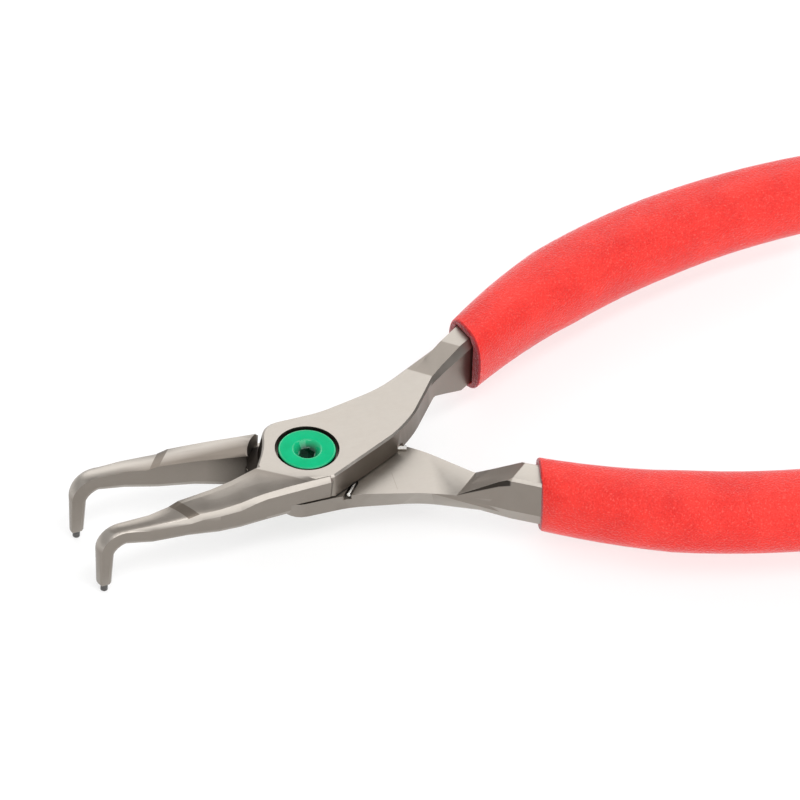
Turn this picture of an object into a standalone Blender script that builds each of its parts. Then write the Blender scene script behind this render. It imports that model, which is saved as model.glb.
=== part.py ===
# Circlip pliers with bent tips, for rings inside a bore.
# Frame: the pivot axis is Z, with the origin on the end face of the pivot screw. The tips point to -X
# and bend down, the handles run to +X. The shapes are drawn about the lap plane and lifted at the end.
# The upper lever has its handle on +Y and its jaw on -Y. The lower lever crosses under it.
import math

import bmesh
import bpy
from mathutils import Matrix, Vector

MM = 0.001
BEYOND = 30.0             # cutting bodies reach this far past the lever, in millimetres

# General fits. Every size below is in millimetres, every angle in degrees.
SEAT_GAP = 0.3            # between a piece and what it is pressed into, dipped onto or laid on
RUNNING_GAP = 0.1         # round the pivot and the tip pins, on the radius
LAP_GAP = 0.2             # between the two lapped faces

# Lap joint
LAP_THICKNESS = 5.2       # of each lever, from the lap plane to its ground outer face
LAP_RADIUS = 12.0         # turned recess that the other lever's nose swings in
RECESS_RELIEF = 0.05      # depth of the recess below the lap face
LAP_START_X = -4.0        # from here to the handle each lever keeps to its own half
EDGE_BREAK = 0.4          # bevel round the upper lever's ground face
UNDER_EDGE_BREAK = 1.0    # the lower lever's is wider
OVERRUN = 1.0             # joined bodies and cuts pass the face that they start from by this much
ROOT_ANGLE = 49.0         # direction of the handle root in plan
RAMP_START = 29.8         # along that direction the ramps leave the flat faces
RAMP_END = 39.8           # and reach the full height of the tang

# Corners of the plate at the lap plane: x, y, corner radius, draft up to the outer face
PLATE_CORNERS = (
    (-12.4, -2.6, 1.0, 0.5),
    (-1.6, -9.4, 1.0, 0.2),
    (2.6, -9.9, 0.8, 0.5),
    (19.4, -1.4, 28.0, 0.4),
    (24.3, 3.0, 25.0, 0.2),
    (31.4, 11.6, 7.0, 0.3),
    (37.0, 18.4, 0.4, 0.2),
    (35.6, 21.2, 0.4, 0.2),
    (19.6, 14.3, 30.0, 1.7),
    (6.0, 10.2, 30.0, 0.6),
    (-6.8, 10.1, 4.4, 0.6),
    (-9.1, 3.4, 20.0, 0.9),
)

# Handle bar, whose centre line is an arc in plan
HANDLE_START = (33.0, 16.3)
HANDLE_ANGLE = 37.3       # direction of the centre line there
ARC_RADIUS = 145.0
TANG_HALF_HEIGHT = 5.7
TANG_WIDTH = 6.2
TANG_X = 38.0
ROOT_WIDTH = 5.0
ROOT_X = 24.0
BAR_WIDTH = 11.6
BAR_FULL_X = 66.0         # the bar has its full width from here
BAR_TAPER_X = 90.0        # and narrows from here to its end
BAR_END_X = 125.2
BAR_END_WIDTH = 9.4

# Chamfers along the bar, across and up, on the outer and inner side of the handle
OUTER_TOP_CHAMFER = (1.0, 3.0)
INNER_TOP_CHAMFER = (1.2, 1.5)
INNER_BASE_CHAMFER = (0.6, 0.5)
OUTER_BASE_CHAMFER = (0.6, 0.5)

# Sleeve
SLEEVE_START_X = 41.4
MOUTH_TILT = 20.0         # the mouth's inner side reaches further towards the joint
MOUTH_FADE = 12.0         # length over which the tilt dies out
SLEEVE_WALL = 1.6
MOUTH_SWELL = 0.9         # extra thickness on the inner side of the mouth
SWELL_END_X = 62.0        # where that has died out
SLEEVE_LIP = 0.3
SLEEVE_END_WALL = 2.0
SLEEVE_END_ROUNDING = (2.4, 2.0)   # along the handle and across
SLEEVE_SQUARENESS = 2.6   # 2 is an ellipse

# Jaw, on the -Y side as modelled, as sections in millimetres from the axis plane: x, inner side,
# outer side, inner top edge, outer top edge, foot of the outer bevel, underside, width of the bevel.
# The first one ends the jaw inside the plate.
JAW_SECTIONS = (
    (3.6, 1.0, 8.6, 5.4, 5.1, 4.0, -2.6, 0.7),
    (1.6, 1.0, 9.9, 5.4, 5.1, 4.0, -2.6, 0.7),
    (-2.0, 1.4, 9.9, 5.4, 5.0, 3.8, -2.6, 0.7),
    (-7.0, 1.8, 9.9, 5.4, 4.8, 3.6, -2.75, 0.7),
    (-12.0, 2.5, 10.0, 5.2, 4.45, 3.4, -2.95, 0.7),
    (-14.5, 3.0, 10.1, 4.8, 4.15, 2.9, -3.05, 0.7),
    (-17.5, 3.6, 10.3, 4.35, 3.65, 2.1, -3.15, 0.65),
    (-22.0, 4.4, 10.4, 4.05, 3.25, 1.95, -3.0, 0.6),
)
JAW_CROWN = 0.25          # rise of the rounded top between its edges
UNDERSIDE_RADIUS = 1.6
UNDERSIDE_SHARE = 0.35    # of the width, at most, for each rounded lower edge
LOWER_ROOT_FALL = 1.6     # the lower jaw's top is this much lower where it meets the plate
LOWER_ROOT_DROP = 2.6     # and its underside this much lower, down to the ground face
ROOT_BLEND = (-20.0, -7.0)
LOWER_JAW_SPREAD = 0.75   # the lower jaw's outer side stands out by this much more
SPREAD_BLEND = (-28.0, -12.0)

# Step across the jaw, skewed in plan, beyond which it is slimmed to the nose
STEP_X = -27.6
STEP_LENGTH = 2.3
STEP_SKEW = 0.73
STEP_SECTION = (5.4, 10.3, 3.9, 3.15, 1.9, -2.5, 0.55)
NOSE_SECTION = (5.75, 10.2, 3.2, 2.5, 1.5, -2.25, 0.5)
NOSE_MID_X = -36.0
NOSE_MID_SECTION = (6.75, 10.1, 3.1, 2.75, 1.8, -1.8, 0.4)

# Bent nose
BEND_X = -41.6
BEND_Z = 1.0              # height of the nose's centre line before the bend
BEND_RADIUS = 4.0
BEND_SEGMENTS = 10
TIP_Y = 8.3
NOSE_WIDTH = 2.9
NOSE_DEPTH = 3.8          # across the nose before the bend
LEG_DEPTH = 3.2           # and after it
BEND_SWELL = 0.6          # extra depth in the middle of the bend
LEG_END = (2.5, 2.6)      # width and depth at the shoulder
LEG_BEVEL = 0.4
SHOULDER_Z = -10.9
SHOULDER_RADIUS = 0.3

# Tip pins
PIN_RADIUS = 0.75
PIN_REACH = 2.0           # below the shoulder
PIN_GRIP = 4.0            # inside the nose
PIN_CHAMFER = 0.2
PIN_SIDES = 24

# Pivot screw
HEAD_RADIUS = 6.05
HEAD_HEIGHT = 2.5
HEAD_RIM = 0.5
HEAD_RECESS_GAP = 0.45
SHANK_RADIUS = 3.7
THREAD_RADIUS = 3.0
THREAD_CHAMFER = 0.4
DISH_RADIUS = 2.8
DISH_DEPTH = 0.7
DISH_FLOOR = 0.6          # radius of the dish's floor as a share of its rim's
HEX_ACROSS_FLATS = 3.5
HEX_DEPTH = 2.8

# Return spring, a hairpin of round wire in grooves between the levers
WIRE_RADIUS = 0.4
COIL_RADIUS = 5.3
GROOVE_CLEARANCE = 0.3
UPPER_LEG_END = (20.9, -1.2)
LOWER_LEG_BEND = (8.8, -6.0)
LOWER_LEG_END = (5.45, -9.8)
LEG_BEND_RADIUS = 0.9
SLOT_EXTRA_DEPTH = 0.1    # the legs' slots are cut this much deeper than the coil's groove
SLOT_RUN_OUT = 3.0        # the slots pass the ends of the wire and open at the lever's edge


# Helpers

def clear_scene():
    for obj in list(bpy.data.objects):
        bpy.data.objects.remove(obj, do_unlink=True)


def material(name, colour, roughness, metallic):
    mat = bpy.data.materials.new(name)
    mat.use_nodes = True
    shader = mat.node_tree.nodes["Principled BSDF"]
    shader.inputs["Base Color"].default_value = (*colour, 1.0)
    shader.inputs["Roughness"].default_value = roughness
    shader.inputs["Metallic"].default_value = metallic
    mat.diffuse_color = (*colour, 1.0)
    return mat


def add_object(name, bm, mat=None, smooth_angle=20.0):
    bmesh.ops.recalc_face_normals(bm, faces=bm.faces)
    mesh = bpy.data.meshes.new(name)
    bm.to_mesh(mesh)
    bm.free()
    mesh.shade_smooth()
    mesh.set_sharp_from_angle(angle=math.radians(smooth_angle))
    obj = bpy.data.objects.new(name, mesh)
    bpy.context.scene.collection.objects.link(obj)
    if mat:
        mesh.materials.append(mat)
    return obj


def moved(bm, matrix):
    bmesh.ops.transform(bm, matrix=matrix, verts=bm.verts)
    return bm


def skin(rings, closed=False):
    """A body through rings of equally many points: flat ends, or joined end to end when closed."""
    bm = bmesh.new()
    loops = [[bm.verts.new(Vector(p) * MM) for p in ring] for ring in rings]
    count = len(loops[0])
    last = loops[:1] if closed else []
    for near, far in zip(loops, loops[1:] + last):
        for i in range(count):
            j = (i + 1) % count
            bm.faces.new((near[i], near[j], far[j], far[i]))
    if not closed:
        bm.faces.new(loops[0][::-1])
        bm.faces.new(loops[-1])
    return bm


def hull(points):
    bm = bmesh.new()
    for p in points:
        bm.verts.new(Vector(p) * MM)
    bmesh.ops.convex_hull(bm, input=bm.verts)
    return bm


def circle(radius, z, count, centre=(0.0, 0.0)):
    turn = 2 * math.pi / count
    return [
        (centre[0] + radius * math.cos(i * turn), centre[1] + radius * math.sin(i * turn), z)
        for i in range(count)
    ]


def turned(profile, count=64, closed=False):
    """A round body about Z through (radius, z) points."""
    return skin([circle(r, z, count) for r, z in profile], closed)


def combine(target, operation, name, bm):
    """An exact Boolean on target, whose tool object stays hidden and moves with it."""
    tool = add_object(name, bm)
    tool.parent = target
    tool.hide_render = True
    tool.display_type = "WIRE"
    modifier = target.modifiers.new(name, "BOOLEAN")
    modifier.operation = operation
    modifier.solver = "EXACT"
    modifier.object = tool


def interpolate(table, x):
    """Linear value at x in a table of (x, value), held level past both ends."""
    if x <= table[0][0]:
        return table[0][1]
    for (x0, v0), (x1, v1) in zip(table, table[1:]):
        if x <= x1:
            return v0 + (v1 - v0) * (x - x0) / (x1 - x0)
    return table[-1][1]


def steps(start, end, count):
    return [start + (end - start) * i / (count - 1) for i in range(count)]


def fillet(last, corner, following, radius, segments):
    """Points of the arc that rounds the corner between two straight runs."""
    to_last = (last - corner).normalized()
    to_next = (following - corner).normalized()
    half = to_last.angle(to_next) / 2
    centre = corner + (to_last + to_next).normalized() * (radius / math.sin(half))
    start = corner + to_last * (radius / math.tan(half)) - centre
    sweep = math.copysign(math.pi - 2 * half, to_next.cross(to_last))
    return [centre + Matrix.Rotation(sweep * k / segments, 2) @ start for k in range(segments + 1)]


def drafted_outline(corners, share, inset=0.0):
    """Points round the (x, y, radius, draft) corners, counter-clockwise, each corner drawn in
    by its draft times share and by inset."""
    shifted = []
    for i, (x, y, _, draft) in enumerate(corners):
        corner = Vector((x, y))
        before = (corner - Vector(corners[i - 1][:2])).normalized()
        after = (Vector(corners[(i + 1) % len(corners)][:2]) - corner).normalized()
        inward = Vector((-before.y - after.y, before.x + after.x)) / (1 + before.dot(after))
        shifted.append(corner + inward * (draft * share + inset))
    points = []
    for i, corner in enumerate(shifted):
        points += fillet(shifted[i - 1], corner, shifted[(i + 1) % len(shifted)], corners[i][2], 5)
    return points


# Levers, modelled in the upper one's place

def plate(edge_break):
    levels = (
        (-OVERRUN, 0.0, 0.0),
        (0.0, 0.0, 0.0),
        (LAP_THICKNESS - edge_break, 1.0, 0.0),
        (LAP_THICKNESS, 1.0, edge_break),
    )
    return skin([
        [(p.x, p.y, z) for p in drafted_outline(PLATE_CORNERS, share, inset)] for z, share, inset in levels
    ])


def handle_frame(x):
    """Centre of the handle bar at x, and its sideways direction."""
    start_x, start_y = HANDLE_START
    start_lean = math.radians(HANDLE_ANGLE)
    lean = math.asin(math.sin(start_lean) - (x - start_x) / ARC_RADIUS)
    centre = Vector((x, start_y + ARC_RADIUS * (math.cos(lean) - math.cos(start_lean)), 0.0))
    return centre, Vector((-math.sin(lean), math.cos(lean), 0.0))


def bar_width(x):
    return interpolate((
        (ROOT_X, ROOT_WIDTH),
        (TANG_X, TANG_WIDTH),
        (SLEEVE_START_X, TANG_WIDTH),
        (BAR_FULL_X, BAR_WIDTH),
        (BAR_TAPER_X, BAR_WIDTH),
        (BAR_END_X, BAR_END_WIDTH),
    ), x)


def bar_ring(x, grow=0.0):
    """The eight-sided section of the bar at x, with each side moved out by grow."""
    centre, side = handle_frame(x)
    half_width = bar_width(x) / 2 + grow
    half_height = TANG_HALF_HEIGHT + grow
    corners = (
        (1, 1, OUTER_TOP_CHAMFER),
        (-1, 1, INNER_TOP_CHAMFER),
        (-1, -1, INNER_BASE_CHAMFER),
        (1, -1, OUTER_BASE_CHAMFER),
    )
    ring = []
    for right, top, (across, up) in corners:
        ends = [(half_width, half_height - up), (half_width - across, half_height)]
        for a, b in ends if right == top else reversed(ends):
            ring.append(centre + side * (right * a) + Vector((0.0, 0.0, top * b)))
    return ring


def bar():
    return skin([bar_ring(x) for x in steps(ROOT_X, BAR_END_X, 24)])


def jaw_section(inner, outer, top_in, top_out, bevel_foot, underside, bevel):
    """Section of the jaw as (y, height) points, round from the foot of the outer bevel over the top."""
    section = [(-outer, bevel_foot)]
    for share in steps(0.0, 1.0, 6):
        y = (bevel - outer) * (1 - share) - inner * share
        height = top_out * (1 - share) + top_in * share
        section.append((y, height + 4 * JAW_CROWN * share * (1 - share)))
    radius = min(UNDERSIDE_RADIUS, UNDERSIDE_SHARE * (outer - inner))
    for centre_y, first in ((-inner - radius, 0.0), (radius - outer, -90.0)):
        for turn in steps(0.0, -90.0, 4):
            angle = math.radians(first + turn)
            section.append((centre_y + radius * math.cos(angle), underside + radius * (1 + math.sin(angle))))
    return section


def upright(x, section, skew=0.0):
    """A jaw section stood up at x. Skew moves the outer side towards the pivot."""
    middle = (section[0][0] + section[6][0]) / 2
    return [(x + skew * (middle - y), y, z) for y, z in section]


def bent(angle, width, depth, lowered=0.0, spread=0.0):
    """A section of the nose turned down by angle about the bend's centre, then lowered."""
    half = depth / 2
    sides = (TIP_Y - width / 2, TIP_Y + width / 2 + spread)
    section = jaw_section(*sides, half, half - LEG_BEVEL / 3, half - LEG_BEVEL, -half, LEG_BEVEL)
    lean = math.radians(angle)
    x = BEND_X - BEND_RADIUS * math.sin(lean)
    z = BEND_Z - BEND_RADIUS * (1 - math.cos(lean)) - lowered
    return [(x - w * math.sin(lean), y, z + w * math.cos(lean)) for y, w in section]


def jaw(root_fall, root_drop, spread):
    """The jaw, whose root can lie lower and whose outer side can stand out more."""
    rings = []
    for x, inner, outer, top_in, top_out, foot, underside, bevel in JAW_SECTIONS:
        fall = interpolate(((ROOT_BLEND[0], 0.0), (ROOT_BLEND[1], root_fall)), x)
        drop = interpolate(((ROOT_BLEND[0], 0.0), (ROOT_BLEND[1], root_drop)), x)
        out = outer + interpolate(((SPREAD_BLEND[0], spread), (SPREAD_BLEND[1], 0.0)), x)
        heights = (top_in - fall, top_out - fall, foot - fall, underside - drop)
        rings.append(upright(x, jaw_section(inner, out, *heights, bevel)))
    nose = (
        (STEP_X, STEP_SECTION, STEP_SKEW),
        (STEP_X - STEP_LENGTH, NOSE_SECTION, STEP_SKEW),
        (NOSE_MID_X, NOSE_MID_SECTION, 0.0),
    )
    for x, (inner, outer, *heights), skew in nose:
        rings.append(upright(x, jaw_section(inner, outer + spread, *heights), skew))
    for share in steps(0.0, 1.0, BEND_SEGMENTS + 1):
        depth = NOSE_DEPTH + (LEG_DEPTH - NOSE_DEPTH) * share + BEND_SWELL * math.sin(math.pi * share)
        rings.append(bent(90.0 * share, NOSE_WIDTH, depth, spread=spread * (1 - share)))
    leg_length = BEND_Z - BEND_RADIUS - SHOULDER_Z
    width, depth = LEG_END
    for angle in (0.0, 45.0, 90.0):
        inset = SHOULDER_RADIUS * (1 - math.cos(math.radians(angle)))
        height = SHOULDER_RADIUS * (1 - math.sin(math.radians(angle)))
        rings.append(bent(90.0, width - 2 * inset, depth - 2 * inset, leg_length - height))
    return skin(rings)


def ramp_point(along, y, z):
    """The point at y that lies this far along the direction of the handle root."""
    angle = math.radians(ROOT_ANGLE)
    return ((along - y * math.sin(angle)) / math.cos(angle), y, z)


def lap_cutter():
    """The half that the other lever takes, up to the ramp that rises to the tang."""
    lap = LAP_GAP / 2
    slope = (lap + TANG_HALF_HEIGHT) / (RAMP_END - RAMP_START)
    deep = 2 * TANG_HALF_HEIGHT
    points = []
    for y in (-BEYOND, BEYOND):
        points += [(LAP_START_X, y, lap), (LAP_START_X, y, -deep)]
        points.append(ramp_point(RAMP_START, y, lap))
        points.append(ramp_point(RAMP_START + (lap + deep) / slope, y, -deep))
    return hull(points)


def face_cutter():
    """What grinding takes off the outer face, with the slight ramp up to the tang."""
    slope = (TANG_HALF_HEIGHT - LAP_THICKNESS) / (RAMP_END - RAMP_START)
    points = []
    for y in (-BEYOND, BEYOND):
        points.append((STEP_X, y, LAP_THICKNESS))
        points.append(ramp_point(RAMP_START, y, LAP_THICKNESS))
        points.append(ramp_point(RAMP_START + BEYOND, y, LAP_THICKNESS + slope * BEYOND))
    return hull(points + [(x, y, z + BEYOND) for x, y, z in points])


def wire_height():
    """Height of a spring leg's centre above the lap plane."""
    return LAP_GAP / 2 + WIRE_RADIUS


def groove_depth():
    return wire_height() + WIRE_RADIUS + GROOVE_CLEARANCE


def coil_groove():
    half_width = WIRE_RADIUS + GROOVE_CLEARANCE
    inner = COIL_RADIUS - half_width
    outer = COIL_RADIUS + half_width
    floor = groove_depth()
    return turned(((inner, -OVERRUN), (outer, -OVERRUN), (outer, floor), (inner, floor)), closed=True)


def channel(path):
    """A slot along a path in plan for a leg of the spring, open at the lap face."""
    half_width = WIRE_RADIUS + GROOVE_CLEARANCE
    left, right = [], []
    for i, point in enumerate(path):
        run = (path[min(i + 1, len(path) - 1)] - path[max(i - 1, 0)]).normalized()
        across = Vector((-run.y, run.x)) * half_width
        left.append(point + across)
        right.append(point - across)
    outline = right + left[::-1]
    return skin([[(p.x, p.y, z) for p in outline] for z in (-OVERRUN, groove_depth() + SLOT_EXTRA_DEPTH)])


def tangent_point(target, side):
    """Where a leg towards target leaves the spring's coil, on the given side of it."""
    target = Vector(target)
    angle = math.atan2(target.y, target.x) + side * math.acos(COIL_RADIUS / target.length)
    return Vector((COIL_RADIUS * math.cos(angle), COIL_RADIUS * math.sin(angle)))


def past(start, end, distance):
    """The end of a run moved on by distance."""
    return end + (end - start).normalized() * distance


def upper_leg():
    """The upper leg's centre line in plan, from the coil to its end."""
    return [tangent_point(UPPER_LEG_END, 1), Vector(UPPER_LEG_END)]


def lower_leg():
    """The lower leg's centre line in plan, from the coil round its bend to the hooked end."""
    start = tangent_point(LOWER_LEG_BEND, -1)
    end = Vector(LOWER_LEG_END)
    return [start, *fillet(start, Vector(LOWER_LEG_BEND), end, LEG_BEND_RADIUS, 8), end]


def upper_bore():
    """The shank's bore and the recess for the screw's head."""
    seat = LAP_THICKNESS - HEAD_HEIGHT - SEAT_GAP
    bore = SHANK_RADIUS + RUNNING_GAP
    recess = HEAD_RADIUS + HEAD_RECESS_GAP
    return turned(((bore, -BEYOND), (bore, seat), (recess, seat), (recess, BEYOND)))


def lower_bore():
    bore = THREAD_RADIUS + SEAT_GAP
    return turned(((bore, -BEYOND), (bore, BEYOND)))


def tip_place(side):
    """Where a tip pin's shoulder sits: side is 1 for the upper lever's jaw, on -Y."""
    return Vector((BEND_X - BEND_RADIUS, -side * TIP_Y, SHOULDER_Z))


def pin_socket(side):
    place = tip_place(side)
    radius = PIN_RADIUS + RUNNING_GAP
    levels = (SHOULDER_Z - 2 * PIN_REACH, SHOULDER_Z + PIN_GRIP + SEAT_GAP)
    return skin([circle(radius, z, PIN_SIDES, place[:2]) for z in levels])


def lever(name, mat, side):
    """A forged lever. The lower one, with side -1, is the upper one turned over, with a jaw of its own."""
    turn_over = Matrix.Diagonal((1.0, side, side, 1.0))
    to_jaw_side = Matrix.Diagonal((1.0, side, 1.0, 1.0))
    to_lap_face = Matrix.Diagonal((1.0, 1.0, side, 1.0))
    edge_break = EDGE_BREAK if side > 0 else UNDER_EDGE_BREAK
    own_jaw = jaw(0.0, 0.0, 0.0) if side > 0 else jaw(LOWER_ROOT_FALL, LOWER_ROOT_DROP, LOWER_JAW_SPREAD)
    lap_recess = turned(((LAP_RADIUS, -2 * TANG_HALF_HEIGHT), (LAP_RADIUS, LAP_GAP / 2 + RECESS_RELIEF)), 96)

    obj = add_object(name, moved(plate(edge_break), turn_over), mat)
    combine(obj, "UNION", name + "_bar", moved(bar(), turn_over))
    combine(obj, "UNION", name + "_jaw", moved(own_jaw, to_jaw_side))
    combine(obj, "DIFFERENCE", name + "_lap_recess", moved(lap_recess, turn_over))
    combine(obj, "DIFFERENCE", name + "_lap", moved(lap_cutter(), turn_over))
    combine(obj, "DIFFERENCE", name + "_face", moved(face_cutter(), turn_over))
    combine(obj, "DIFFERENCE", name + "_coil_groove", moved(coil_groove(), to_lap_face))
    leg = upper_leg() if side > 0 else lower_leg()
    path = [*leg, past(leg[-2], leg[-1], SLOT_RUN_OUT)]
    combine(obj, "DIFFERENCE", name + "_leg_slot", moved(channel(path), to_lap_face))
    combine(obj, "DIFFERENCE", name + "_bore", upper_bore() if side > 0 else lower_bore())
    combine(obj, "DIFFERENCE", name + "_pin_socket", pin_socket(side))
    return obj


# Other pieces

def pivot_screw(mat):
    top = LAP_THICKNESS
    head = top - HEAD_HEIGHT
    shoulder = SEAT_GAP - LAP_GAP / 2
    tail = SEAT_GAP - LAP_THICKNESS
    profile = [(THREAD_RADIUS - THREAD_CHAMFER, tail), (THREAD_RADIUS, tail + THREAD_CHAMFER)]
    profile.append((THREAD_RADIUS, shoulder))
    profile += [(SHANK_RADIUS, shoulder), (SHANK_RADIUS, head), (HEAD_RADIUS, head)]
    for angle in steps(0.0, 90.0, 5):
        lean = math.radians(angle)
        radius = HEAD_RADIUS - HEAD_RIM * (1 - math.cos(lean))
        profile.append((radius, top - HEAD_RIM * (1 - math.sin(lean))))
    for share in steps(0.0, 1.0, 5):
        radius = DISH_RADIUS * (1 - (1 - DISH_FLOOR) * share)
        profile.append((radius, top - DISH_DEPTH * math.sin(share * math.pi / 2)))
    obj = add_object("pivot_screw", turned(profile), mat)
    corner = HEX_ACROSS_FLATS / math.sqrt(3)
    socket = skin([circle(corner, z, 6) for z in (top - HEX_DEPTH, top + OVERRUN)])
    combine(obj, "DIFFERENCE", "pivot_screw_hex", socket)
    return obj


def tip_pin(name, mat, side):
    """A hardened pin, modelled about its shoulder line and then placed in its jaw."""
    profile = (
        (PIN_RADIUS - PIN_CHAMFER, -PIN_REACH),
        (PIN_RADIUS, PIN_CHAMFER - PIN_REACH),
        (PIN_RADIUS, PIN_GRIP),
    )
    obj = add_object(name, turned(profile, PIN_SIDES), mat)
    obj.location = tip_place(side) * MM
    return obj


def sleeve_ring(x, grow, sides=28):
    """Outer section of the sleeve at x: an ellipse squared off towards its corners, tilted at the mouth."""
    centre, side = handle_frame(x)
    tilt = math.radians(interpolate(((SLEEVE_START_X, MOUTH_TILT), (SLEEVE_START_X + MOUTH_FADE, 0.0)), x))
    side = side + Vector((side.y, -side.x, 0.0)) * math.tan(tilt)
    swell = interpolate(((SLEEVE_START_X, MOUTH_SWELL), (SWELL_END_X, 0.0)), x) / 2
    half_width = bar_width(x) / 2 + SEAT_GAP + SLEEVE_WALL + swell + grow
    half_height = TANG_HALF_HEIGHT + SEAT_GAP + SLEEVE_WALL + grow
    power = 2 / SLEEVE_SQUARENESS
    ring = []
    for i in range(sides):
        angle = 2 * math.pi * i / sides
        across = math.copysign(abs(math.cos(angle)) ** power, math.cos(angle)) * half_width
        up = math.copysign(abs(math.sin(angle)) ** power, math.sin(angle)) * half_height
        ring.append(centre + side * (across - swell) + Vector((0.0, 0.0, up)))
    return ring


def sleeve(name, mat, side):
    """Dipped plastic over the handle bar, open at the mouth and closed over the bar's end."""
    cavity_end = BAR_END_X + SEAT_GAP
    end = cavity_end + SLEEVE_END_WALL
    length, depth = SLEEVE_END_ROUNDING
    rings = [
        sleeve_ring(SLEEVE_START_X, -SLEEVE_LIP),
        sleeve_ring(SLEEVE_START_X + SLEEVE_LIP, 0.0),
    ]
    rings += [sleeve_ring(x, 0.0) for x in steps(SLEEVE_START_X + MOUTH_FADE / 4, end - length, 20)]
    for angle in (30.0, 60.0, 80.0):
        lean = math.radians(angle)
        rings.append(sleeve_ring(end - length * (1 - math.sin(lean)), -depth * (1 - math.cos(lean))))
    turn_over = Matrix.Diagonal((1.0, side, side, 1.0))
    obj = add_object(name, moved(skin(rings), turn_over), mat)
    stations = [TANG_X - MOUTH_FADE, *steps(TANG_X, BAR_END_X, 20), cavity_end]
    cavity = skin([bar_ring(x, SEAT_GAP) for x in stations])
    combine(obj, "DIFFERENCE", name + "_cavity", moved(cavity, turn_over))
    return obj


def spring_route():
    """Centre line of the wire: upper leg, round behind the pivot, lower leg and its hooked end."""
    upper, lower = upper_leg(), lower_leg()
    start = math.atan2(upper[0].y, upper[0].x)
    end = math.atan2(lower[0].y, lower[0].x) + 2 * math.pi
    height = wire_height()
    route = [(*upper[1], height)]
    for share in steps(0.0, 1.0, 25):
        angle = start + (end - start) * share
        level = height * math.cos(share * math.pi)
        route.append((COIL_RADIUS * math.cos(angle), COIL_RADIUS * math.sin(angle), level))
    return route + [(p.x, p.y, -height) for p in lower[1:]]


def return_spring(mat):
    curve = bpy.data.curves.new("return_spring", "CURVE")
    curve.dimensions = "3D"
    curve.bevel_depth = WIRE_RADIUS * MM
    curve.bevel_resolution = 2
    curve.render_resolution_u = 0
    curve.use_fill_caps = True
    route = spring_route()
    spline = curve.splines.new("POLY")
    spline.points.add(len(route) - 1)
    for point, place in zip(spline.points, route):
        point.co = (*(Vector(place) * MM), 1.0)
    curve.materials.append(mat)
    obj = bpy.data.objects.new("return_spring", curve)
    bpy.context.scene.collection.objects.link(obj)
    return obj


def half(name, pieces):
    """An empty on the pivot axis that carries the pieces which move together."""
    empty = bpy.data.objects.new(name, None)
    empty.location.z = (LAP_THICKNESS - SEAT_GAP) * MM
    bpy.context.scene.collection.objects.link(empty)
    for piece in pieces:
        piece.parent = empty
    return empty


def main():
    clear_scene()
    steel = material("satin_steel", (0.52, 0.47, 0.42), 0.38, 1.0)
    pin_steel = material("hardened_pin", (0.12, 0.12, 0.12), 0.35, 1.0)
    spring_steel = material("spring_wire", (0.62, 0.60, 0.57), 0.25, 1.0)
    green = material("green_lacquer", (0.0, 0.45, 0.21), 0.22, 0.0)
    red = material("red_dipped_plastic", (0.88, 0.075, 0.055), 0.55, 0.0)
    half("upper_half", (
        lever("lever_upper", steel, 1),
        sleeve("sleeve_upper", red, 1),
        tip_pin("tip_pin_upper", pin_steel, 1),
    ))
    half("lower_half", (
        lever("lever_lower", steel, -1),
        sleeve("sleeve_lower", red, -1),
        tip_pin("tip_pin_lower", pin_steel, -1),
        pivot_screw(green),
        return_spring(spring_steel),
    ))


main()
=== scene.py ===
# Dressed scene of the circlip pliers: camera, studio, materials and the pieces laid over the plain solids.
import math

import bmesh
import bpy
from mathutils import Matrix, Vector


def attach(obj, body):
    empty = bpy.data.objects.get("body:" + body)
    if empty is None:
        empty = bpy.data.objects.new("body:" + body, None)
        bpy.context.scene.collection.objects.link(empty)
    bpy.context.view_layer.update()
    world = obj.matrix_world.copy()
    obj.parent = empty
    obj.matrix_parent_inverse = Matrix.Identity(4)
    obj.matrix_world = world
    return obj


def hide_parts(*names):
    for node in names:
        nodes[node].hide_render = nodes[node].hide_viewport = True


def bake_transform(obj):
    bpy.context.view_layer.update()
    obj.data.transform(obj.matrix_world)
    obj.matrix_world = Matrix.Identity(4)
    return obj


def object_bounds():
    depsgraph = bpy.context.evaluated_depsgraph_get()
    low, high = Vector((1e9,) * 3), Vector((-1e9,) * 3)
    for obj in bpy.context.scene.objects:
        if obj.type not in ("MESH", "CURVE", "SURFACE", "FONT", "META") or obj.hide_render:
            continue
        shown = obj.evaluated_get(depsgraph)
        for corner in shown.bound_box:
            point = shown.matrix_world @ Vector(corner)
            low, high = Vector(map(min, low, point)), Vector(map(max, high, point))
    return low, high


MM = 0.001
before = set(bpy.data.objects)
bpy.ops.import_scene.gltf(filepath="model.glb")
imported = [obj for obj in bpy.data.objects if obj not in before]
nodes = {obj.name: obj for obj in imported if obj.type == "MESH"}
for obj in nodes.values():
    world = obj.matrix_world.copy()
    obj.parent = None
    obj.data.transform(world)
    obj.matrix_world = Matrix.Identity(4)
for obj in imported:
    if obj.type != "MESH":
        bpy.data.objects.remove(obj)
cad_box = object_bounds()

# Sizes are in millimetres from the origin, on the pivot's axis, unless a comment says otherwise

LAP_Z = 4.9               # height of the plane where the levers lap
LAP_HALF_GAP = 0.1        # each lap face stands back from it by this much
SCREW_TOP = 10.1          # the top of the screw's head in the plain solid
BODIES = {"upper": "upper_half", "lower": "lower_half"}


# Camera: a very long lens, fitted to the photo's outlines

PHOTO_SIZE = 800
FOCAL_PX = 30000.0
PX_PER_MM = 5.0
AZIMUTH = -21.68
ELEVATION = 42.25
ROLL = 2.46
AIM_HEIGHT = 5.24         # the top of the pivot, above the lap plane
AIM_PX = (307.1, 448.0)   # where it lies in the photo
SENSOR_WIDTH = 36.0
CLIP = (0.5, 30.0)        # in metres


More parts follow.
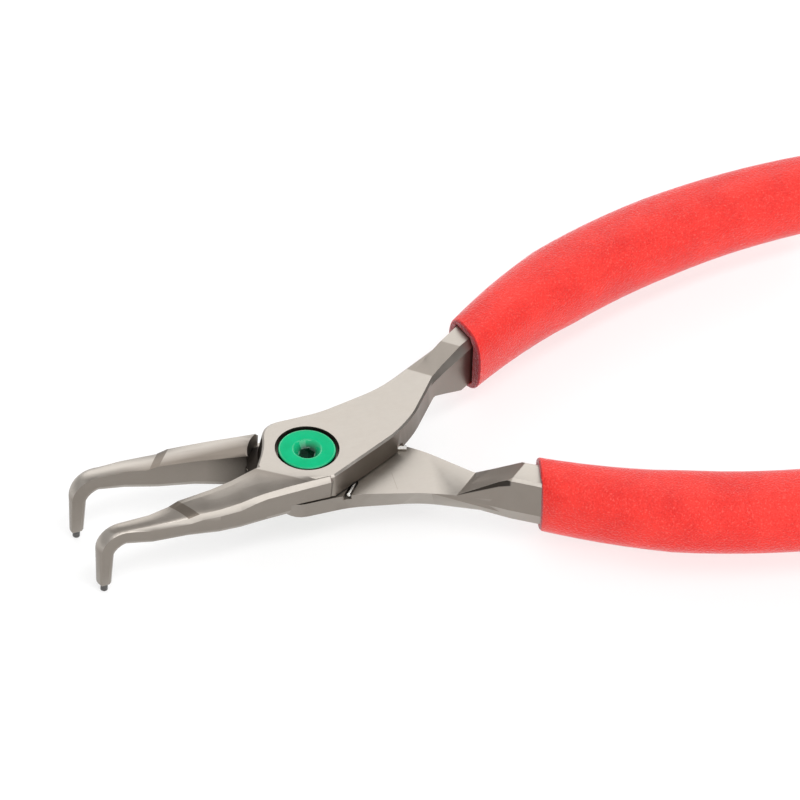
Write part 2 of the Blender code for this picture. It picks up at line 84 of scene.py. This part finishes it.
def make_camera():
    azimuth, elevation, roll = (math.radians(a) for a in (AZIMUTH, ELEVATION, ROLL))
    right = Vector((math.cos(azimuth), math.sin(azimuth), 0.0))
    forward = Vector((
        -math.sin(azimuth) * math.cos(elevation),
        math.cos(azimuth) * math.cos(elevation),
        -math.sin(elevation),
    ))
    up = right.cross(forward)
    right, up = (
        right * math.cos(roll) + up * math.sin(roll),
        up * math.cos(roll) - right * math.sin(roll),
    )
    distance = FOCAL_PX / PX_PER_MM
    offset_x = (AIM_PX[0] - PHOTO_SIZE / 2) / PX_PER_MM
    offset_y = (PHOTO_SIZE / 2 - AIM_PX[1]) / PX_PER_MM
    aim = Vector((0.0, 0.0, AIM_HEIGHT + LAP_Z))
    place = aim - forward * distance - right * offset_x - up * offset_y
    data = bpy.data.cameras.new("camera")
    data.sensor_width = SENSOR_WIDTH
    data.lens = SENSOR_WIDTH * FOCAL_PX / PHOTO_SIZE
    data.clip_start, data.clip_end = CLIP
    camera = bpy.data.objects.new("camera", data)
    turn = Matrix((right, up, -forward)).transposed().to_4x4()
    camera.matrix_world = Matrix.Translation(place * MM) @ turn
    bpy.context.scene.collection.objects.link(camera)
    bpy.context.scene.camera = camera


# Studio, in metres

LIGHT_DISTANCE = 3.0
ROOM_FADE = (0.2, 0.7)    # the room darkens over this part of the way towards +X
FLOOR_HALF = 6.0
FLOOR_GREY = 0.42
FLOOR_GLOW = 0.58         # the paper's own light, which keeps the shadows faint


def direction(azimuth, elevation):
    """Unit vector towards a compass direction: azimuth runs from +X towards +Y, both in degrees."""
    azimuth, elevation = math.radians(azimuth), math.radians(elevation)
    return Vector((
        math.cos(azimuth) * math.cos(elevation),
        math.sin(azimuth) * math.cos(elevation),
        math.sin(elevation),
    ))


def softbox(name, azimuth, elevation, width, height, radiance):
    """A soft light that spans width by height degrees as seen from the object."""
    data = bpy.data.lights.new(name, "AREA")
    data.shape = "RECTANGLE"
    data.size = 2 * LIGHT_DISTANCE * math.tan(math.radians(width / 2))
    data.size_y = 2 * LIGHT_DISTANCE * math.tan(math.radians(height / 2))
    data.energy = radiance * math.pi * data.size * data.size_y
    light = bpy.data.objects.new(name, data)
    light.location = direction(azimuth, elevation) * LIGHT_DISTANCE
    light.rotation_euler = light.location.to_track_quat("Z", "Y").to_euler()
    bpy.context.scene.collection.objects.link(light)


def make_world(radiance, dark_side):
    """An even white room that is darker towards +X."""
    world = bpy.data.worlds.new("studio")
    world.use_nodes = True
    tree = world.node_tree
    background = tree.nodes["Background"]
    background.inputs["Color"].default_value = (1.0, 1.0, 1.0, 1.0)
    towards = tree.nodes.new("ShaderNodeTexCoord").outputs["Generated"]
    split = tree.nodes.new("ShaderNodeSeparateXYZ")
    fade = tree.nodes.new("ShaderNodeMapRange")
    fade.inputs["From Min"].default_value, fade.inputs["From Max"].default_value = ROOM_FADE
    fade.inputs["To Min"].default_value = radiance
    fade.inputs["To Max"].default_value = dark_side
    tree.links.new(towards, split.inputs[0])
    tree.links.new(split.outputs["X"], fade.inputs["Value"])
    tree.links.new(fade.outputs["Result"], background.inputs["Strength"])
    bpy.context.scene.world = world


def make_floor(height):
    """Pale matt paper under the pliers."""
    bm = bmesh.new()
    for x, y in ((-1, -1), (1, -1), (1, 1), (-1, 1)):
        bm.verts.new((x * FLOOR_HALF, y * FLOOR_HALF, height))
    bm.faces.new(bm.verts)
    mesh = bpy.data.meshes.new("floor")
    bm.to_mesh(mesh)
    bm.free()
    floor = bpy.data.objects.new("floor", mesh)
    bpy.context.scene.collection.objects.link(floor)
    mat = bpy.data.materials.new("floor_paper")
    mat.use_nodes = True
    shader = mat.node_tree.nodes["Principled BSDF"]
    shader.inputs["Base Color"].default_value = (FLOOR_GREY, FLOOR_GREY, FLOOR_GREY, 1.0)
    shader.inputs["Roughness"].default_value = 0.9
    shader.inputs["Specular IOR Level"].default_value = 0.1
    shader.inputs["Emission Color"].default_value = (1.0, 1.0, 1.0, 1.0)
    shader.inputs["Emission Strength"].default_value = FLOOR_GLOW
    mesh.materials.append(mat)


# Materials

class Nodes:
    """Short calls for building one material's node tree."""

    def __init__(self, name):
        self.mat = bpy.data.materials.new(name)
        self.mat.use_nodes = True
        self.tree = self.mat.node_tree
        self.shader = self.tree.nodes["Principled BSDF"]
        place = self.tree.nodes.new("ShaderNodeTexCoord")
        self.coordinates = place.outputs["Object"]
        self.normal = place.outputs["Normal"]

    def set(self, **values):
        for key, value in values.items():
            self.shader.inputs[key.replace("_", " ")].default_value = value

    def link(self, source, target):
        self.tree.links.new(source, target)

    def mapped(self, scale, turn=0.0):
        node = self.tree.nodes.new("ShaderNodeMapping")
        node.inputs["Scale"].default_value = scale
        node.inputs["Rotation"].default_value = (0.0, 0.0, turn)
        self.link(self.coordinates, node.inputs["Vector"])
        return node.outputs["Vector"]

    def noise(self, scale, detail, roughness=0.55, vector=None):
        """Noise; without a vector of its own, scale is in cells to the metre."""
        node = self.tree.nodes.new("ShaderNodeTexNoise")
        node.inputs["Scale"].default_value = scale
        node.inputs["Detail"].default_value = detail
        node.inputs["Roughness"].default_value = roughness
        self.link(vector or self.coordinates, node.inputs["Vector"])
        return node.outputs["Fac"]

    def cells(self, scale):
        node = self.tree.nodes.new("ShaderNodeTexVoronoi")
        node.inputs["Scale"].default_value = scale
        self.link(self.coordinates, node.inputs["Vector"])
        return node.outputs["Distance"]

    def ramp(self, value, colours, start=0.3, end=0.7):
        node = self.tree.nodes.new("ShaderNodeValToRGB")
        stops = node.color_ramp.elements
        stops[0].position, stops[1].position = start, end
        stops[0].color, stops[1].color = ((*colour, 1.0) for colour in colours)
        self.link(value, node.inputs["Fac"])
        return node.outputs["Color"]

    def remap(self, value, low, high, start=0.3, end=0.7):
        """low up to start and high from end, with an even change between."""
        node = self.tree.nodes.new("ShaderNodeMapRange")
        for key, number in (("From Min", start), ("From Max", end), ("To Min", low), ("To Max", high)):
            node.inputs[key].default_value = number
        self.link(value, node.inputs["Value"])
        return node.outputs["Result"]

    def rises(self, value, start, end):
        return self.remap(value, 0.0, 1.0, start, end)

    def falls(self, value, start, end):
        return self.remap(value, 1.0, 0.0, start, end)

    def between(self, value, low, high, soft):
        """1 from low to high, fading over soft at both ends."""
        return self.product(
            self.rises(value, low - soft, low + soft),
            self.falls(value, high - soft, high + soft),
        )

    def compute(self, operation, *values):
        node = self.tree.nodes.new("ShaderNodeMath")
        node.operation = operation
        for socket, value in zip(node.inputs, values):
            if isinstance(value, float):
                socket.default_value = value
            else:
                self.link(value, socket)
        return node.outputs[0]

    def chain(self, operation, values):
        result = values[0]
        for value in values[1:]:
            result = self.compute(operation, result, value)
        return result

    def sum(self, *values):
        return self.chain("ADD", values)

    def product(self, *values):
        return self.chain("MULTIPLY", values)

    def highest(self, *values):
        return self.chain("MAXIMUM", values)

    def add(self, value, other, share):
        return self.compute("MULTIPLY_ADD", other, share, value)

    def absolute(self, value):
        return self.compute("ABSOLUTE", value)

    def length(self, x, y):
        return self.compute("SQRT", self.sum(self.product(x, x), self.product(y, y)))

    def axes(self, vector):
        node = self.tree.nodes.new("ShaderNodeSeparateXYZ")
        self.link(vector, node.inputs[0])
        return node.outputs

    def place(self):
        """The surface point's coordinates in millimetres."""
        return [self.product(axis, 1.0 / MM) for axis in self.axes(self.coordinates)]

    def blend(self, share, first, second):
        node = self.tree.nodes.new("ShaderNodeMix")
        node.data_type = "RGBA"
        self.link(share, node.inputs["Factor"])
        self.link(first, node.inputs["A"])
        node.inputs["B"].default_value = (*second, 1.0)
        return node.outputs["Result"]

    def bump(self, height, distance, strength):
        node = self.tree.nodes.new("ShaderNodeBump")
        node.inputs["Distance"].default_value = distance
        node.inputs["Strength"].default_value = strength
        self.link(height, node.inputs["Height"])
        self.link(node.outputs["Normal"], self.shader.inputs["Normal"])

    def colour(self, value):
        self.link(value, self.shader.inputs["Base Color"])

    def roughness(self, value):
        self.link(value, self.shader.inputs["Roughness"])


# Steel of the levers

ROOT_ANGLE = 49.0             # direction of the handle roots in plan, in degrees
RAMP = (29.8, 39.8)           # the forged ramp on the outer face, along that direction
RAMP_SLOPE = 0.58
STEP = (-29.9, -27.6)         # the forged step across the jaw
STEP_SKEW = 0.73
JAW_MIDDLE = 7.85             # a jaw's middle line lies this far out from the X axis
CROTCH = (2.8, 30.0)          # painted shade on the walls between the handles, along X
CROTCH_SIDE = (9.0, 10.0)     # how far out it goes
CROTCH_HEIGHT = (0.3, 5.6)    # and over which height it fades, above and below the lap plane
FAR_JAW = (-60.0, -6.0)       # span of the painted shade on the lower jaw's top, along X
FAR_JAW_TURN = (5.6, 8.6)     # where its painted shade turns to bright, across
LAP_MARK = (16.35, 16.47)     # a fine mark on the lower lap face, along X
LAP_MARK_LEAN = -0.104
LAP_MARK_SPAN = (-11.7, -6.8) # along Y
ROOT_FLANK = (-20.0, -11.5)   # painted shade on the lower jaw's inner side, darker towards its root, along X
ROOT_FLANK_SIDE = (4.5, 6.0)  # and the painted shade ends here, along Y
CORNER_RADII = (7.0, 12.3)    # painted shadow in the corner between that root and the other lever, from the pivot's axis
CORNER_SPAN = (-2.0, 9.0)     # along Y
CORNER_END = (-7.0, -6.0)     # along X
CORNER_RISE = 0.4             # above the lap plane
HOLLOW_LENGTH = 9.9           # the painted shadow under the lower ramp's edge
HOLLOW_GROWTH = 0.17          # it widens by this much to the millimetre
CREASE = (-11.3, -10.9)       # the crease across the upper lever, below which its top gets painted shade, measured across its own direction
CREASE_FADE = (-15.5, -11.6)
CREASE_LEAN = 0.73
NEAR_JAW_END = (0.0, 4.0)     # the upper jaw's painted shade ends here, along X

# shares of painted shade on the forged ramp and the forged step
RAMP_SHADE = {1.0: 0.55, -1.0: 0.68}
STEP_SHADE = 0.9
# share of painted shade on the walls between the handles
CROTCH_SHADE = 0.8
BRIGHT_STEEL = ((0.355, 0.324, 0.290), (0.405, 0.373, 0.337))
# the painted shade of the upright sides
SHADED_SIDE_STEEL = (0.175, 0.15, 0.125)
# the brown of the painted shade on the levers
PAINTED_SHADE_BROWN = (0.13, 0.108, 0.088)
# the black of the painted shadows on the lower lever
PAINTED_SHADOW_BLACK = (0.012, 0.009, 0.007)


def far_jaw_shade_and_mark(n, x, y, normal_z):
    """Painted shade towards the inner edge of the lower jaw's top, and a fine mark on the lap face."""
    flat = n.rises(normal_z, 0.85, 0.93)
    inner = n.falls(y, *FAR_JAW_TURN)
    top = n.product(inner, flat, n.between(x, *FAR_JAW, 2.0), 0.85)
    mark = n.between(n.sum(x, n.product(y, LAP_MARK_LEAN)), *LAP_MARK, 0.04)
    mark = n.product(mark, n.between(y, *LAP_MARK_SPAN, 0.3), flat, 0.35)
    return n.highest(top, mark)


def root_shadows(n, x, y, z, along, normal_z):
    """Painted shadow in the corner at the lower jaw's root and on its inner side, and painted shadow under
    the ramp's edge.
    """
    upright = n.falls(n.absolute(normal_z), 0.5, 0.7)
    flank = n.product(n.rises(x, *ROOT_FLANK), n.falls(y, *ROOT_FLANK_SIDE))
    flank = n.product(flank, n.rises(y, -1.0, 0.0), upright, 0.8)
    corner = n.product(n.between(n.length(x, y), *CORNER_RADII, 0.2), n.between(y, *CORNER_SPAN, 0.3))
    corner = n.product(corner, n.falls(x, *CORNER_END), n.falls(z, LAP_Z, LAP_Z + CORNER_RISE), 0.93)
    up_ramp = n.sum(along, -RAMP[0])
    edge = n.compute("MULTIPLY_ADD", up_ramp, RAMP_SLOPE, LAP_Z - LAP_HALF_GAP)
    under = n.sum(n.compute("SUBTRACT", edge, z), n.product(up_ramp, -HOLLOW_GROWTH))
    hollow = n.product(n.falls(under, -0.1, 0.15), n.between(up_ramp, 0.0, HOLLOW_LENGTH, 0.2))
    return n.highest(flank, corner, n.product(hollow, upright, 0.9))


def near_jaw_shade(n, x, y, normal_z):
    """Painted shade where the upper jaw's top falls away below the crease, and where its crown tilts away
    from the light.
    """
    flat = n.rises(normal_z, 0.84, 0.90)
    crown = n.product(n.falls(normal_z, 0.985, 0.9985), 0.42)
    across = n.sum(n.product(x, CREASE_LEAN), y)
    below = n.product(n.falls(across, *CREASE), n.remap(across, 0.3, 0.62, *CREASE_FADE))
    return n.product(n.highest(crown, below), flat, n.falls(x, *NEAR_JAW_END))


def satin_steel(side):
    """Ground and tumbled steel of a lever, with painted shade on the ramp and the step, on the walls between
    the handles, on the upright sides, on the jaws' tops and, on the lower lever, at the jaw's root.
    """
    n = Nodes("satin_steel_" + ("upper" if side > 0 else "lower"))
    n.set(Metallic=1.0)
    blotches = n.noise(220.0, 3.0)
    grain = n.noise(5200.0, 3.0, 0.6)
    streaks = n.noise(1.0, 4.0, 0.6, n.mapped((350.0, 5200.0, 5200.0), math.radians(-38.0)))
    x, y, z = n.place()
    normal_z = n.axes(n.normal)[2]
    tilt = n.absolute(normal_z)
    root = math.radians(ROOT_ANGLE)
    along = n.sum(n.product(x, math.cos(root)), n.product(y, side * math.sin(root)))

    # painted shade on the flat faces of the forged ramp and step, which face away from the light
    facing = n.rises(tilt, 0.72, 0.76)
    ramp = n.product(n.between(along, *RAMP, 0.15), facing)
    outward = n.sum(n.product(y, -side), -JAW_MIDDLE)
    step = n.product(n.between(n.sum(x, n.product(outward, -STEP_SKEW)), *STEP, 0.1), facing)
    # painted shade on the upright walls between the handles, deepest at the lap plane where the crevice gets
    # least light
    height = n.absolute(n.sum(z, -LAP_Z))
    crotch = n.product(n.remap(height, 1.0, 0.3, *CROTCH_HEIGHT), n.falls(tilt, 0.4, 0.7))
    crotch = n.product(crotch, n.between(x, *CROTCH, 0.6), n.falls(n.product(y, side), *CROTCH_SIDE))
    # skin here is the share of painted shade: on the ramp, the step, the walls between the handles and the
    # jaws' tops
    skin = n.sum(n.product(ramp, RAMP_SHADE[side]), n.product(step, STEP_SHADE), n.product(crotch, CROTCH_SHADE))
    tone = near_jaw_shade if side > 0 else far_jaw_shade_and_mark
    skin = n.highest(skin, tone(n, x, y, normal_z))

    bright = n.ramp(n.add(blotches, streaks, 0.35), BRIGHT_STEEL, 0.45, 0.95)
    # painted shade on the upright sides, which get less light than the tops
    steel = n.blend(n.product(n.falls(tilt, 0.12, 0.34), 0.62), bright, SHADED_SIDE_STEEL)
    steel = n.blend(skin, steel, PAINTED_SHADE_BROWN)
    # painted shadows at the lower jaw's root and under the ramp's edge
    if side < 0:
        steel = n.blend(root_shadows(n, x, y, z, along, normal_z), steel, PAINTED_SHADOW_BLACK)
    n.colour(steel)
    n.roughness(n.remap(n.add(blotches, grain, 0.6), 0.30, 0.41, 0.5, 1.1))
    n.bump(n.add(grain, streaks, 0.6), 0.00002, 0.35)
    return n.mat


def dark_pin():
    """Hardened pin, turned and left dark."""
    n = Nodes("dark_pin")
    n.set(Metallic=1.0)
    turning = n.noise(1.0, 2.0, 0.5, n.mapped((600.0, 600.0, 12000.0)))
    n.colour(n.ramp(turning, ((0.07, 0.07, 0.07), (0.16, 0.155, 0.15))))
    n.roughness(n.remap(turning, 0.28, 0.45))
    n.bump(turning, 0.00002, 0.4)
    return n.mat


def spring_wire():
    """Bright drawn wire."""
    n = Nodes("spring_wire")
    n.set(Metallic=1.0)
    drawn = n.noise(2600.0, 3.0)
    n.colour(n.ramp(drawn, ((0.82, 0.80, 0.77), (0.92, 0.90, 0.87))))
    n.roughness(n.remap(drawn, 0.18, 0.32))
    return n.mat


# Lacquer of the screw

FUNNEL_SHADE = (1.3, 2.5)     # radii over which the painted shade in the funnel ends
FUNNEL_LEAN = (0.35, 0.45)    # the painted shade reaches further this way
FUNNEL_FALL = (-1.5, -0.35)   # and rises to here, from the head's top
GAP_RADII = (5.6, 5.7)        # painted shade on the side of the head, inside its recess
GAP_FALL = (-0.45, -0.25)
FUNNEL_GLOSS = (2.9, 3.1)     # the funnel is glossier up to this radius
RIM_GLOSS = (5.4, 5.5)        # and the rim from this one
GREEN = ((0.0, 0.37, 0.150), (0.0, 0.42, 0.180))
PAINTED_SHADE_GREEN = (0.002, 0.02, 0.01)


def green_lacquer():
    """Even green lacquer with painted shade deep in the funnel and on the head's side in its recess, glossier
    in the funnel and on the rim.
    """
    n = Nodes("green_lacquer")
    n.set(Metallic=0.0, Specular_IOR_Level=0.1, Specular_Tint=(0.0, 1.0, 0.6, 1.0))
    n.set(Coat_Roughness=0.05)
    mottle = n.noise(420.0, 3.0)
    peel = n.noise(900.0, 2.0)
    x, y, z = n.place()
    radius = n.length(x, y)
    below_top = n.sum(z, -SCREW_TOP)
    leaned = n.sum(n.product(x, FUNNEL_LEAN[0]), n.product(y, FUNNEL_LEAN[1]))
    reach = n.remap(n.sum(radius, n.product(leaned, -0.6)), 0.97, 0.0, *FUNNEL_SHADE)
    funnel = n.product(reach, n.falls(below_top, *FUNNEL_FALL))
    gap = n.product(n.remap(radius, 0.0, 0.97, *GAP_RADII), n.falls(below_top, *GAP_FALL))
    glossy = n.highest(n.falls(radius, *FUNNEL_GLOSS), n.rises(radius, *RIM_GLOSS))
    n.link(n.compute("MULTIPLY_ADD", glossy, 0.9, 0.03), n.shader.inputs["Coat Weight"])
    # painted shade in the funnel and on the head's side
    n.colour(n.blend(n.highest(funnel, gap), n.ramp(mottle, GREEN), PAINTED_SHADE_GREEN))
    n.roughness(n.remap(mottle, 0.12, 0.20))
    n.bump(peel, 0.00003, 0.3)
    return n.mat


# Plastic of the sleeves

CUT_END = (47.0, 49.0)        # the painted shade on the cut end at the mouth stops here, along X
CUT_DIRECTION = (-0.8, -0.6)  # and faces this way
RED = ((0.67, 0.007, 0.004), (0.81, 0.027, 0.017))
PAINTED_GLINT_PINK = (0.88, 0.21, 0.17)
PAINTED_SHADE_RED = (0.20, 0.004, 0.012)


def red_plastic(side):
    """Dipped plastic with a pebbled skin and pale specks painted as its glints, with painted shade on the cut
    end at the mouth.
    """
    n = Nodes("red_plastic_" + ("upper" if side > 0 else "lower"))
    n.set(Metallic=0.0, Specular_IOR_Level=0.35, Sheen_Weight=0.7, Sheen_Roughness=0.3)
    n.set(Sheen_Tint=(1.0, 0.75, 0.78, 1.0))
    pebbles = n.cells(2300.0)
    grain = n.noise(2600.0, 3.0, 0.6)
    mixed = n.add(n.add(n.noise(130.0, 3.0), pebbles, 0.35), grain, 0.3)
    skin = n.ramp(mixed, RED, 0.5, 1.1)
    # pale specks: painted glints of the pebbled skin catching light
    painted_glints = n.product(n.rises(n.noise(2700.0, 2.0, 0.5), 0.56, 0.70), 0.30)
    skin = n.blend(painted_glints, skin, PAINTED_GLINT_PINK)
    # painted shade on the cut end at the mouth, on the faces turned towards CUT_DIRECTION
    normal_x, normal_y = n.axes(n.normal)[:2]
    facing = n.sum(n.product(normal_x, CUT_DIRECTION[0]), n.product(normal_y, CUT_DIRECTION[1] * side))
    cut_end = n.product(n.rises(facing, 0.35, 0.75), n.falls(n.place()[0], *CUT_END), 0.85)
    n.colour(n.blend(cut_end, skin, PAINTED_SHADE_RED))
    n.roughness(n.remap(mixed, 0.34, 0.50, 0.5, 1.1))
    n.bump(n.add(grain, pebbles, 0.7), 0.00024, 0.8)
    return n.mat


# Pieces copied from the solids: flats made whole, edges softly broken, round faces smooth

JOIN_DISTANCE = 2e-6          # in metres
FLAT_ANGLE = 1.0              # in degrees, as the three below
SMOOTH_ANGLE = 30.0           # a bend up to this much is smooth
LEVER_SMOOTH = 24.0
ROUND_SMOOTH = 40.0           # on the sleeves, the spring and the screw's finished head
LEVER_EDGE = 0.2
SLEEVE_EDGE = 0.35
SLEEVE_SEGMENTS = 4
MOUTH_REACH = 60.0            # a sleeve's edges are broken at its mouth only, up to here


def clean_copy(node):
    """The node's mesh with its corners joined and its flat faces whole."""
    mesh = bpy.data.meshes.new(node + "_dressed")
    bm = bmesh.new()
    bm.from_mesh(nodes[node].data)
    bmesh.ops.remove_doubles(bm, verts=bm.verts, dist=JOIN_DISTANCE)
    bmesh.ops.dissolve_limit(bm, angle_limit=math.radians(FLAT_ANGLE), verts=bm.verts, edges=bm.edges)
    bm.to_mesh(mesh)
    bm.free()
    return mesh


def weigh_mouth_edges(mesh, smooth_angle):
    """Marks the sharp edges at a sleeve's mouth, and leaves those of its closed cavity."""
    bm = bmesh.new()
    bm.from_mesh(mesh)
    layer = bm.edges.layers.float.new("bevel_weight_edge")
    for edge in bm.edges:
        at_mouth = edge.verts[0].co.x < MOUTH_REACH * MM
        if at_mouth and edge.is_manifold and edge.calc_face_angle() > math.radians(smooth_angle):
            edge[layer] = 1.0
    bm.to_mesh(mesh)
    bm.free()


def show(name, mesh, mat, smooth_angle):
    """Puts the mesh in the scene, smooth but for the bends over smooth_angle."""
    mesh.materials.append(mat)
    mesh.shade_smooth()
    mesh.set_sharp_from_angle(angle=math.radians(smooth_angle))
    piece = bpy.data.objects.new(name, mesh)
    bpy.context.scene.collection.objects.link(piece)
    return piece


def dressed(node, body, mat, edge=0.0, smooth_angle=SMOOTH_ANGLE, segments=2, mouth=False):
    """A copy of the node whose sharp edges are broken by edge, all or only those at a sleeve's mouth."""
    piece = show(node + "_dressed", clean_copy(node), mat, smooth_angle)
    if edge:
        bevel = piece.modifiers.new("edges", "BEVEL")
        bevel.width = edge * MM
        bevel.segments = segments
        bevel.limit_method = "WEIGHT" if mouth else "ANGLE"
        bevel.angle_limit = math.radians(smooth_angle)
        bevel.harden_normals = True
        if mouth:
            weigh_mouth_edges(piece.data, smooth_angle)
    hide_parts(node)
    if body:
        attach(piece, body)
    return piece


def modelled(name, bm, mat):
    """A piece from its own mesh."""
    bmesh.ops.recalc_face_normals(bm, faces=bm.faces)
    mesh = bpy.data.meshes.new(name)
    bm.to_mesh(mesh)
    bm.free()
    return show(name, mesh, mat, SMOOTH_ANGLE)


# The flank between the plate's edge and the handle bar, in plan

FLANK = ((25.86, 17.0), (33.6, 20.4), (34.4, 18.6), (28.6, 14.7))
FLANK_TOP = 0.6
FLANK_PROUD = 0.01


def ramp_flank(node, body, mat, side):
    """Carries the lapped ramp of a lever out to the plate's edge."""
    root = math.radians(ROOT_ANGLE)
    bm = bmesh.new()
    for x, y in FLANK:
        along = x * math.cos(root) + y * math.sin(root)
        ramp = LAP_HALF_GAP - FLANK_PROUD - max(0.0, along - RAMP[0]) * RAMP_SLOPE
        for height in (ramp, FLANK_TOP):
            bm.verts.new(Vector((x, y * side, height * side + LAP_Z)) * MM)
    bmesh.ops.convex_hull(bm, input=bm.verts)
    piece = modelled(node + "_flank", bm, mat)
    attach(piece, body)


# Pivot screw

HEAD_RADIUS = 5.82
THREAD_RADIUS = 3.0
SHANK_RADIUS = 3.7
SHANK_SPAN = (5.1, 7.6)
THREAD_CHAMFER = 0.4
HEAD_BELOW = 0.12             # the head's top lies this much below that of the plain solid
DOME = 0.06
RIM_RADIUS = 0.35
FUNNEL_RADII = (3.0, 1.5)     # at its brim and at its foot
FUNNEL_DEPTH = 1.45
HEX_RADIUS = 1.72
HEX_DEPTH = 2.8
RIM_STEPS = 6
DOME_STEPS = 4
FUNNEL_STEPS = 12
SCREW_SIDES = 96


def screw_profile(top):
    """The screw's outline from its lower end to the foot of the funnel, as radius and height."""
    profile = [
        (THREAD_RADIUS - THREAD_CHAMFER, 0.0),
        (THREAD_RADIUS, THREAD_CHAMFER),
        (THREAD_RADIUS, SHANK_SPAN[0]),
        (SHANK_RADIUS, SHANK_SPAN[0]),
        (SHANK_RADIUS, SHANK_SPAN[1]),
        (HEAD_RADIUS, SHANK_SPAN[1]),
    ]
    for k in range(RIM_STEPS + 1):
        lean = math.radians(90.0 * k / RIM_STEPS)
        radius = HEAD_RADIUS - RIM_RADIUS * (1 - math.cos(lean))
        profile.append((radius, top - DOME - RIM_RADIUS * (1 - math.sin(lean))))
    rim = HEAD_RADIUS - RIM_RADIUS
    brim, foot = FUNNEL_RADII
    for k in range(1, DOME_STEPS + 1):
        share = k / DOME_STEPS
        profile.append((rim + (brim - rim) * share, top - DOME * (1 - share) ** 2))
    for k in range(1, FUNNEL_STEPS + 1):
        share = k / FUNNEL_STEPS
        fall = (1 - math.cos(math.pi * share)) / 2
        profile.append((brim + (foot - brim) * share, top - FUNNEL_DEPTH * fall))
    return profile


def turned(profile, sides):
    """A closed solid of revolution about Z."""
    bm = bmesh.new()
    angles = [2 * math.pi * i / sides for i in range(sides)]
    rings = [
        [bm.verts.new(Vector((radius * math.cos(a), radius * math.sin(a), z)) * MM) for a in angles]
        for radius, z in profile
    ]
    for near, far in zip(rings, rings[1:]):
        for i in range(sides):
            j = (i + 1) % sides
            bm.faces.new((near[i], near[j], far[j], far[i]))
    bm.faces.new(rings[0])
    bm.faces.new(rings[-1])
    return bm


def hexagon(bottom, top):
    bm = bmesh.new()
    for z in (bottom, top):
        for i in range(6):
            angle = math.radians(60.0 * i)
            bm.verts.new(Vector((HEX_RADIUS * math.cos(angle), HEX_RADIUS * math.sin(angle), z)) * MM)
    bmesh.ops.convex_hull(bm, input=bm.verts)
    return bm


def pivot_screw(mat):
    """The lacquered screw: a slightly domed head with a smooth funnel down to the hexagon."""
    top = SCREW_TOP - HEAD_BELOW
    piece = modelled("pivot_screw_dressed", turned(screw_profile(top), SCREW_SIDES), mat)
    cutter = modelled("hex_cutter", hexagon(top - HEX_DEPTH, top + 1.0), mat)
    cut = piece.modifiers.new("hexagon", "BOOLEAN")
    cut.operation = "DIFFERENCE"
    cut.solver = "EXACT"
    cut.object = cutter
    bpy.context.view_layer.update()
    carved = bpy.data.meshes.new_from_object(piece.evaluated_get(bpy.context.evaluated_depsgraph_get()))
    piece.modifiers.clear()
    piece.data = carved
    bpy.data.objects.remove(cutter)
    carved.shade_smooth()
    carved.set_sharp_from_angle(angle=math.radians(ROUND_SMOOTH))
    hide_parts("pivot_screw")
    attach(piece, BODIES["lower"])


make_camera()
make_world(radiance=0.70, dark_side=0.22)
make_floor(cad_box[0][2])
softbox("back_box", azimuth=64.0, elevation=33.0, width=76.0, height=40.0, radiance=1.6)
softbox("front_box", azimuth=-68.0, elevation=26.0, width=50.0, height=50.0, radiance=1.8)
softbox("edge_box", azimuth=-80.0, elevation=66.0, width=80.0, height=14.0, radiance=4.0)
bpy.context.scene.view_settings.view_transform = "Standard"

pins = dark_pin()
wire = spring_wire()
green = green_lacquer()
for name, side in (("upper", 1.0), ("lower", -1.0)):
    body = BODIES[name]
    steel = satin_steel(side)
    dressed("lever_" + name, body, steel, LEVER_EDGE, LEVER_SMOOTH)
    red = red_plastic(side)
    dressed(
        "sleeve_" + name, body, red,
        SLEEVE_EDGE, ROUND_SMOOTH, SLEEVE_SEGMENTS, mouth=True,
    )
    dressed("tip_pin_" + name, body, pins)
    ramp_flank("lever_" + name, body, steel, side)
pivot_screw(green)

spring = dressed("return_spring", None, wire, smooth_angle=ROUND_SMOOTH)
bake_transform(spring)
